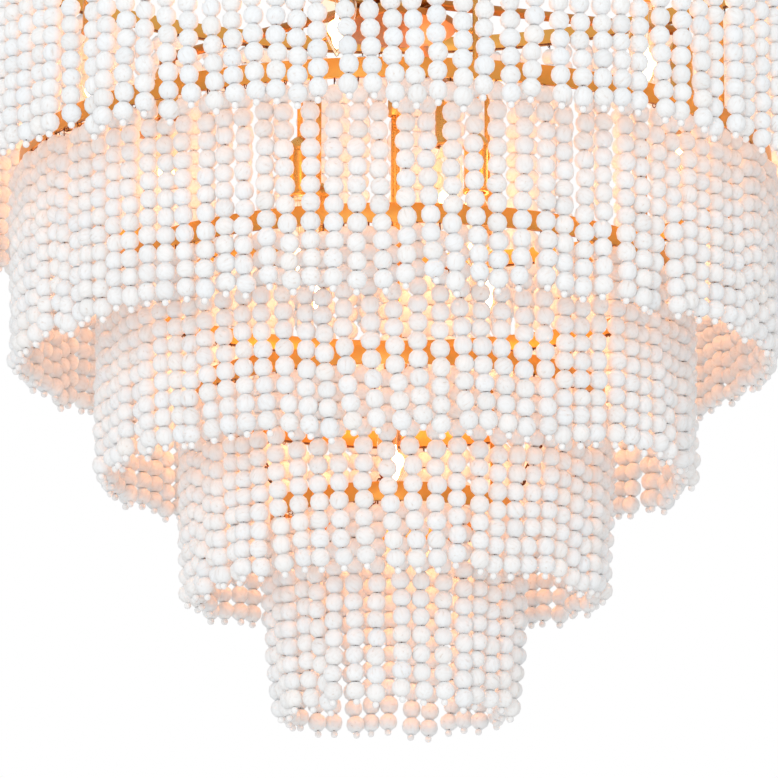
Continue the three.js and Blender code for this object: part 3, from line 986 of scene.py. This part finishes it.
def threaded(radius, low, high):
    """A profile that zigzags like a screw thread between two heights."""
    turns = round((high - low) / THREAD_PITCH)
    points = []
    for k in range(turns):
        points.append((radius - THREAD_DEPTH, low + (high - low) * k / turns))
        points.append((radius, low + (high - low) * (k + 0.5) / turns))
    return points + [(radius - THREAD_DEPTH, high)]


def make_column():
    for node, threads_up in (("column_upper", False), ("column_lower", True)):
        low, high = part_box(node)
        if threads_up:
            seam = high.z - THREAD_LENGTH
            chain = [(COLUMN_RADIUS, low.z), (COLUMN_RADIUS, seam)]
            chain += threaded(COLUMN_RADIUS, seam, high.z)
        else:
            seam = low.z + THREAD_LENGTH
            chain = threaded(COLUMN_RADIUS, low.z, seam)
            chain += [(COLUMN_RADIUS, seam), (COLUMN_RADIUS, high.z)]
        bm = bmesh.new()
        turned(bm, [(0, low.z)] + chain + [(0, high.z)], segments=24)
        make_piece(f"{node}_fine", bm, rod_gold, "fixture", replaces=[node])
    low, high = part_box("column_coupling")
    bm = bmesh.new()
    turned(bm, ring_section(4.5 * MM, 7 * MM, low.z, high.z), segments=6, closed=True)
    soften(bm, 0.5 * MM, sharp=math.radians(30))
    make_piece("column_coupling_fine", bm, rod_gold, "fixture",
               replaces=["column_coupling"])


make_column()
print("thread turns on each rod:", round(THREAD_LENGTH / THREAD_PITCH))

# %% [markdown]
# ## Lamp sockets
#
# Every lamp hangs tip down from a turned gold cup with a waist. The cup is open below, so its
# profile starts inside the mouth, goes round the rim and ends on the axis at the top.

# %% Lamp sockets
OUTER_LAMPS = [f"outer_lamp_{k}" for k in range(1, 7)]
INNER_LAMPS = [f"inner_lamp_{k}" for k in range(1, 5)]
LAMPS = OUTER_LAMPS + INNER_LAMPS + ["low_lamp"]
SOCKET_RADIUS = 12 * MM
SOCKET_MOUTH = 9 * MM


def socket_profile(low, high):
    wide, waist = SOCKET_RADIUS, SOCKET_RADIUS - 1.2 * MM
    return [(SOCKET_MOUTH, low + 8 * MM), (SOCKET_MOUTH, low), (wide, low), (wide, low + 3 * MM),
            (waist, low + 4 * MM), (waist, high - 14 * MM), (wide, high - 13 * MM),
            (wide, high - 10 * MM), (SOCKET_RADIUS - 2 * MM, high - 5 * MM),
            (6 * MM, high - 1 * MM), (5 * MM, high), (0, high)]


def make_socket(lamp):
    low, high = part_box(f"{lamp}_socket")
    spot = (low + high) / 2
    bm = bmesh.new()
    turned(bm, [(0, low.z + 8 * MM)] + socket_profile(low.z, high.z), segments=40, centre=spot.xy)
    soften(bm, 0.4 * MM)
    make_piece(f"{lamp}_socket_fine", bm, rod_gold, "fixture",
               replaces=[f"{lamp}_socket"])


print("lamps:", len(OUTER_LAMPS), "outer,", len(INNER_LAMPS), "inner and one low")

# %% [markdown]
# ## Bulbs
#
# The bulb is a clear candle shape with a thin wall, a screw cap, two thin wires and a bright
# filament. Its outline is a list of shares, how far down and how far out, so that it fits any
# length. Bulb and cap turn in the socket, so they ride on the bulb's own body.

# %% Bulb glass and cap
BULB_RADIUS = 17.5 * MM
CAP_RADIUS = 6.5 * MM
CAP_HEIGHT = 7.7 * MM
GLASS_WALL = 0.8 * MM
GLASS_SHARES = ((0.0, 0.37), (0.07, 0.46), (0.16, 0.72), (0.28, 0.93), (0.4, 1.0),
                (0.52, 0.95), (0.66, 0.76), (0.8, 0.48), (0.91, 0.24), (0.98, 0.09))


def bulb_outline(shoulder, tip):
    """Radius and height down the glass, from the cap to the flame's tip."""
    length = shoulder - tip
    return [(BULB_RADIUS * out, shoulder - length * down) for down, out in GLASS_SHARES] + [(0, tip)]


def make_glass(lamp, spot, shoulder, tip):
    outside = bulb_outline(shoulder, tip)
    inside = [(max(radius - GLASS_WALL, 0), height + (GLASS_WALL if radius == 0 else 0))
              for radius, height in outside]
    bm = bmesh.new()
    turned(bm, inside[:1] + outside, segments=32, centre=spot)
    turned(bm, inside, segments=32, centre=spot)
    glass = make_piece(f"{lamp}_glass", bm, lamp_glass, f"{lamp}_bulb",
                       replaces=[f"{lamp}_bulb"], smooth=math.pi)
    glass.visible_shadow = False


def make_cap(lamp, spot, shoulder, top):
    low = shoulder - 0.5 * MM
    profile = [(0, low)] + threaded(CAP_RADIUS, low, top - 1 * MM) + [(3 * MM, top), (0, top)]
    bm = bmesh.new()
    turned(bm, profile, segments=28, centre=spot)
    make_piece(f"{lamp}_cap", bm, zinc, f"{lamp}_bulb")


# %% [markdown]
# ## Filament
#
# Seen from across a room, a lit filament is one small warm flame, thickest near its tip, so
# it is turned like the rest. It and its two wires cast no shadow, because the point light
# that stands for it sits inside them and would be shut in.

# %% Filament
GLOW_TOP = 37 * MM
GLOW_LENGTH = 34 * MM
GLOW_RADIUS = 4.3 * MM
GLOW_SHARES = ((0.04, 0.2), (0.25, 0.42), (0.5, 0.75), (0.68, 1.0), (0.82, 0.86), (0.94, 0.45))


def make_glow(lamp, spot, top):
    flame = [(GLOW_RADIUS * out, top - GLOW_LENGTH * down) for down, out in GLOW_SHARES]
    bm = bmesh.new()
    turned(bm, [(0, top)] + flame + [(0, top - GLOW_LENGTH)], segments=16, centre=spot)
    glow = make_piece(f"{lamp}_glow", bm, filament_glow, f"{lamp}_bulb", smooth=math.pi)
    glow.visible_shadow = False


def make_filament_wires(lamp, spot, shoulder, top):
    bm = bmesh.new()
    for side in (-1, 1):
        foot = Vector((spot.x + side * 2.2 * MM, spot.y, shoulder - 1 * MM))
        tip = Vector((spot.x + side * 0.8 * MM, spot.y, top - 3 * MM))
        rod(bm, 0.35 * MM, foot, tip, segments=8)
    wires = make_piece(f"{lamp}_filament_wires", bm, zinc, f"{lamp}_bulb")
    wires.visible_shadow = False


# %% All lamps
def make_bulb(lamp):
    """Makes one bulb's pieces and gives the middle of its filament."""
    low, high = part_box(f"{lamp}_bulb")
    spot = ((low + high) / 2).xy
    shoulder = high.z - CAP_HEIGHT
    top = shoulder - GLOW_TOP
    make_glass(lamp, spot, shoulder, low.z)
    make_cap(lamp, spot, shoulder, high.z)
    make_glow(lamp, spot, top)
    make_filament_wires(lamp, spot, shoulder, top)
    return Vector((spot.x, spot.y, top - GLOW_LENGTH / 2))


lamp_spots = {}
for lamp in LAMPS:
    make_socket(lamp)
    lamp_spots[lamp] = make_bulb(lamp)
print("sockets and bulbs:", len(lamp_spots))

# %% [markdown]
# ## Stem
#
# The stem hangs from the swivel by a fork of two plates, and carries the top tier on a small
# collar. It is one turned profile, and the fork's plates are boxes with softened edges.

# %% Stem
STEM_RADIUS = 8 * MM
STEM_COLLAR = 14 * MM
FORK_LEVEL = -41 * MM
FORK_PLATE = (9 * MM, 3 * MM)
FORK_SIDE = 7.5 * MM


def make_stem():
    low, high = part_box("stem")
    shoulder = bar_level(tiers[-1]) - COLLAR_HALF - 0.3 * MM
    bm = bmesh.new()
    turned(bm, [(0, low.z), (STEM_RADIUS, low.z), (STEM_RADIUS, shoulder - 6 * MM),
                (STEM_COLLAR, shoulder - 3 * MM), (STEM_COLLAR, shoulder), (STEM_RADIUS, shoulder),
                (STEM_RADIUS, FORK_LEVEL - 4 * MM), (9 * MM, FORK_LEVEL - 3 * MM),
                (9 * MM, FORK_LEVEL), (0, FORK_LEVEL)], segments=40)
    soften(bm, 0.4 * MM)
    foot = FORK_LEVEL - 1 * MM
    for side in (-1, 1):
        place = Matrix.Translation((0, side * FORK_SIDE, (foot + high.z) / 2))
        round_box(bm, (*FORK_PLATE, high.z - foot), place, EDGE)
    make_piece("stem_fine", bm, canopy_gold, "fixture", replaces=["stem"])
    print("stem length:", round(high.z - low.z, 3), "m")


make_stem()

# %% [markdown]
# ## Canopy, knobs and swivel
#
# At the ceiling a bracket is screwed to the box, and a swivel hangs from it so that the
# chandelier finds its own plumb line. The canopy hides both. It is a bowl of thin sheet, so its
# profile goes up the outside and comes back down the inside. Two ball knobs on studs hold it
# up. The bracket, studs and swivel are right as the construction has them, so they only get
# the zinc finish.

# %% Canopy
CANOPY_CORNER = 14 * MM
CANOPY_WALL = 1.5 * MM
CANOPY_HOLE = 20 * MM


def bowl(radius, low, thin):
    """The rounded corner of the canopy, drawn thinner by the wall for its inside."""
    reach = CANOPY_CORNER - thin
    arc = [math.pi / 2 * k / 8 for k in range(9)]
    return [(radius - CANOPY_CORNER + reach * math.sin(a), low + CANOPY_CORNER - reach * math.cos(a))
            for a in arc]


def make_canopy():
    low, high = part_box("canopy")
    radius = -low.y
    outside = [(CANOPY_HOLE, low.z)] + bowl(radius, low.z, 0) + [(radius, high.z)]
    inside = [(CANOPY_HOLE, low.z + CANOPY_WALL)] + bowl(radius, low.z, CANOPY_WALL)
    inside.append((radius - CANOPY_WALL, high.z))
    bm = bmesh.new()
    turned(bm, outside + inside[::-1], segments=96, closed=True)
    soften(bm, 0.3 * MM)
    make_piece("canopy_fine", bm, canopy_gold, "ceiling", replaces=["canopy"])


make_canopy()

# %% Canopy knobs and zinc pieces
KNOB_RADIUS = 7 * MM
KNOB_BORE = 2.4 * MM
KNOB_DEPTH = 4 * MM
ZINC_NODES = ("ceiling_bracket", "canopy_stud_left", "canopy_stud_right", "hanger_socket",
              "swivel_yoke", "swivel_cross")


def make_knob(node):
    """A ball with a bored top, which screws onto its stud."""
    low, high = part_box(node)
    middle = low.z + KNOB_RADIUS
    turns = [math.pi * k / 14 for k in range(13)]
    ball = [(KNOB_RADIUS * math.sin(a), middle - KNOB_RADIUS * math.cos(a)) for a in turns]
    bore = [(KNOB_BORE, high.z), (KNOB_BORE, high.z - KNOB_DEPTH), (0, high.z - KNOB_DEPTH)]
    bm = bmesh.new()
    turned(bm, ball + bore, segments=32, centre=((low + high) / 2).xy)
    soften(bm, 0.2 * MM, sharp=math.radians(50))
    make_piece(f"{node}_fine", bm, canopy_gold, "ceiling", replaces=[node])


make_knob("canopy_knob_left")
make_knob("canopy_knob_right")
for node in ZINC_NODES:
    nodes[node].data.materials.clear()
    nodes[node].data.materials.append(zinc)
print("zinc pieces:", len(ZINC_NODES))

# %% [markdown]
# ## Light
#
# The studio is a white world that lights everything evenly. It is dimmer for what it lights
# than for what looks at it, so the background stays white while pale beads keep their
# shading. One broad, slightly cool lamp stands level in front, a little to the left, for
# shape. Each bulb also holds a small warm point light, because light from the tiny filament
# alone would be grainy. These lights ride with the fixture.

# %% World and lamps
WORLD_STRENGTH = 0.79
LAMP_COLOUR = (1.0, 0.35, 0.09)
LAMP_WATTS = {"outer": 0.30, "inner": 0.45, "low": 0.30}
KEY_WATTS = 98
KEY_SIZE = 3.8
KEY_PLACE = (-1.0, -6.0, -0.8)
KEY_AIM = (0, 0, -0.6)
KEY_COLOUR = (0.975, 0.99, 1.0)
FILAMENT_SIZE = 12 * MM


def larger(tree, first, second):
    node = tree.nodes.new("ShaderNodeMath")
    node.operation = "MAXIMUM"
    tree.links.new(first, node.inputs[0])
    tree.links.new(second, node.inputs[1])
    return node.outputs[0]


def make_world():
    world = bpy.data.worlds.new("studio")
    world.use_nodes = True
    tree = world.node_tree
    tree.nodes.clear()
    output = tree.nodes.new("ShaderNodeOutputWorld")
    paths = tree.nodes.new("ShaderNodeLightPath").outputs
    seen = larger(tree, paths["Is Camera Ray"], paths["Is Glossy Ray"])
    clear = larger(tree, seen, paths["Is Transmission Ray"])
    strength = tree.nodes.new("ShaderNodeMix")
    strength.inputs["A"].default_value = WORLD_STRENGTH
    strength.inputs["B"].default_value = 1
    tree.links.new(clear, strength.inputs["Factor"])
    background = tree.nodes.new("ShaderNodeBackground")
    background.inputs["Color"].default_value = (1, 1, 1, 1)
    tree.links.new(strength.outputs["Result"], background.inputs["Strength"])
    tree.links.new(background.outputs["Background"], output.inputs["Surface"])
    bpy.context.scene.world = world


def make_key():
    data = bpy.data.lights.new("key", "AREA")
    data.shape = "DISK"
    data.size = KEY_SIZE
    data.energy = KEY_WATTS
    data.color = KEY_COLOUR
    key = bpy.data.objects.new("key", data)
    key.location = KEY_PLACE
    key.rotation_euler = (Vector(KEY_AIM) - Vector(KEY_PLACE)).to_track_quat("-Z", "Y").to_euler()
    bpy.context.scene.collection.objects.link(key)


def bulb_light(lamp, spot, watts):
    data = bpy.data.lights.new(f"{lamp}_light", "POINT")
    data.color = LAMP_COLOUR
    data.energy = watts
    data.shadow_soft_size = FILAMENT_SIZE
    light = bpy.data.objects.new(f"{lamp}_light", data)
    light.location = spot
    bpy.context.scene.collection.objects.link(light)
    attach(light, "fixture")


make_world()
make_key()
for lamp, spot in lamp_spots.items():
    bulb_light(lamp, spot, LAMP_WATTS[lamp.split("_")[0]])
print("bulb lights:", len(lamp_spots))

# %% [markdown]
# ## Floor
#
# The chandelier hangs above a pale floor, at a room's height below the ceiling. It isn't part
# of the object.

# %% Floor
FLOOR_LEVEL = -3.0
FLOOR_SIZE = 30


def make_floor():
    bm = bmesh.new()
    bmesh.ops.create_grid(bm, x_segments=1, y_segments=1, size=FLOOR_SIZE,
                          matrix=Matrix.Translation((0, 0, FLOOR_LEVEL)))
    mesh = bpy.data.meshes.new("floor")
    bm.to_mesh(mesh)
    bm.free()
    material, shader = new_material("pale_floor")
    shader.inputs["Base Color"].default_value = (0.9, 0.9, 0.9, 1)
    shader.inputs["Roughness"].default_value = 0.9
    mesh.materials.append(material)
    floor = bpy.data.objects.new("floor", mesh)
    bpy.context.scene.collection.objects.link(floor)


make_floor()
print("floor at", FLOOR_LEVEL, "m")

# %% [markdown]
# ## Finishing
#
# The dressed model has to keep the size of the construction. The last step brings the scene
# up to date.

# %% Finish
bpy.context.view_layer.update()
